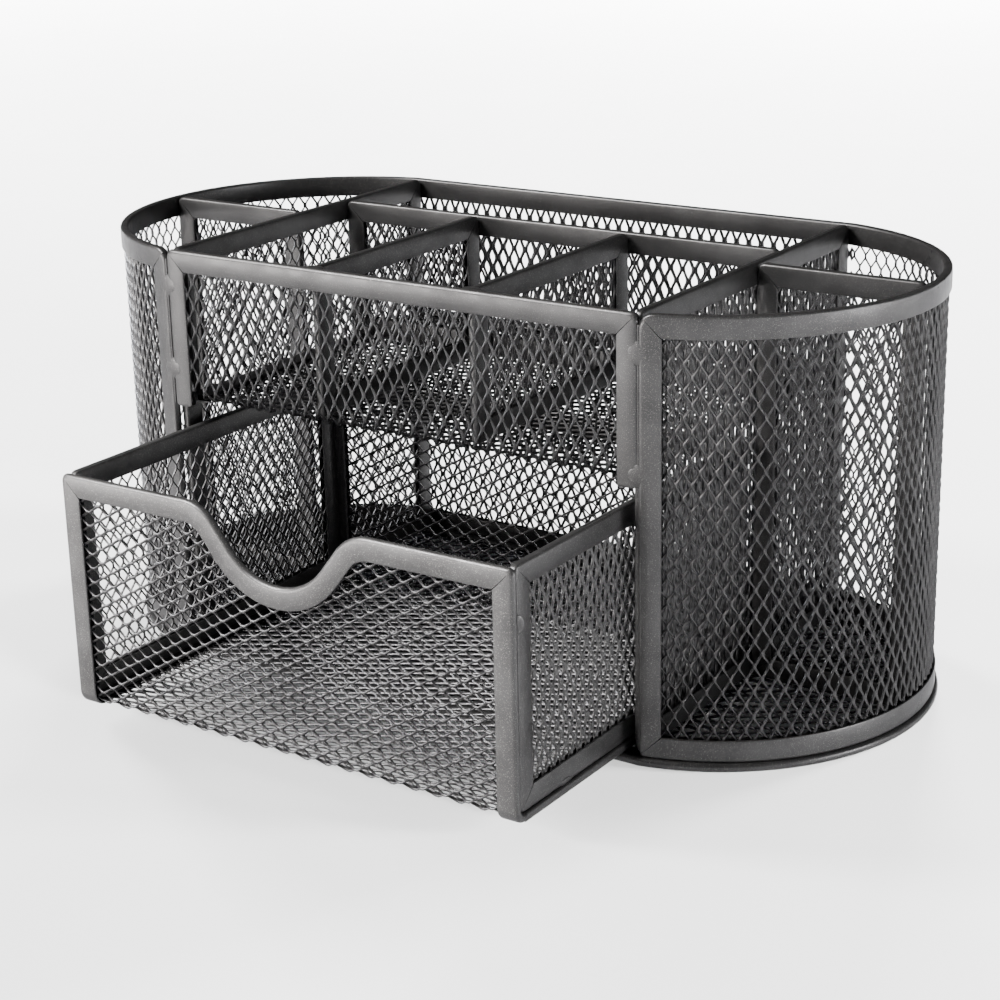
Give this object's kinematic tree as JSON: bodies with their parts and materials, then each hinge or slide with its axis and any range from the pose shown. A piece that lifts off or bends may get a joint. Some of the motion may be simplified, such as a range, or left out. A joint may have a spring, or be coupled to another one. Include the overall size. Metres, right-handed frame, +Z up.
{
  "type": "desk organizer with drawer",
  "caption": "Low desk organizer of dark expanded-metal mesh with rounded end bins, a divided tray and a rear slot on top, and a scooped pull-out drawer underneath.",
  "frame": {"origin": "middle of the body's base, on the table; the drawer, half out, isn't counted in it", "axes": "+X to the right along the length, +Y to the back, +Z up; the drawer opens towards -Y"},
  "size_m": [0.2214, 0.1503, 0.1045],
  "materials": {
    "edging": "gunmetal metallic powder coat, satin with a fine sparkle",
    "mesh": "gunmetal metallic powder coat, satin with a fine sparkle"
  },
  "bodies": {
    "housing": {"base_floor_mesh": "mesh", "left_end_mesh": "mesh", "right_end_mesh": "mesh", "back_mesh": "mesh", "left_wall_mesh": "mesh", "right_wall_mesh": "mesh", "tray_sheet": "mesh", "long_divider_mesh": "mesh", "left_short_divider_mesh": "mesh", "right_short_divider_mesh": "mesh", "left_end_divider_mesh": "mesh", "right_end_divider_mesh": "mesh", "base_rim": "edging", "left_end_top_rim": "edging", "left_end_bottom_strip": "edging", "left_end_front_post": "edging", "right_end_top_rim": "edging", "right_end_bottom_strip": "edging", "right_end_front_post": "edging", "back_top_rail": "edging", "back_bottom_rail": "edging", "left_wall_frame": "edging", "right_wall_frame": "edging", "tray_front_rail": "edging", "left_tray_front_strip": "edging", "right_tray_front_strip": "edging", "left_tray_floor_strip": "edging", "right_tray_floor_strip": "edging", "tray_rear_strip": "edging", "long_divider_frame": "edging", "left_short_divider_frame": "edging", "right_short_divider_frame": "edging", "left_end_divider_frame": "edging", "right_end_divider_frame": "edging", "body_spot_welds": "edging"},
    "drawer": {"drawer_sheet": "mesh", "left_drawer_side_mesh": "mesh", "right_drawer_side_mesh": "mesh", "drawer_front_rail": "edging", "left_drawer_front_strip": "edging", "right_drawer_front_strip": "edging", "drawer_rear_rail": "edging", "left_drawer_rear_strip": "edging", "right_drawer_rear_strip": "edging", "left_drawer_floor_strip": "edging", "right_drawer_floor_strip": "edging", "left_drawer_side_frame": "edging", "right_drawer_side_frame": "edging", "drawer_spot_welds": "edging"}
  },
  "joints": [
    {"name": "drawer_slide", "type": "slide", "parent": "housing", "child": "drawer", "axis": [0, -1, 0], "range_m": [-0.0441, 0.036]}
  ]
}
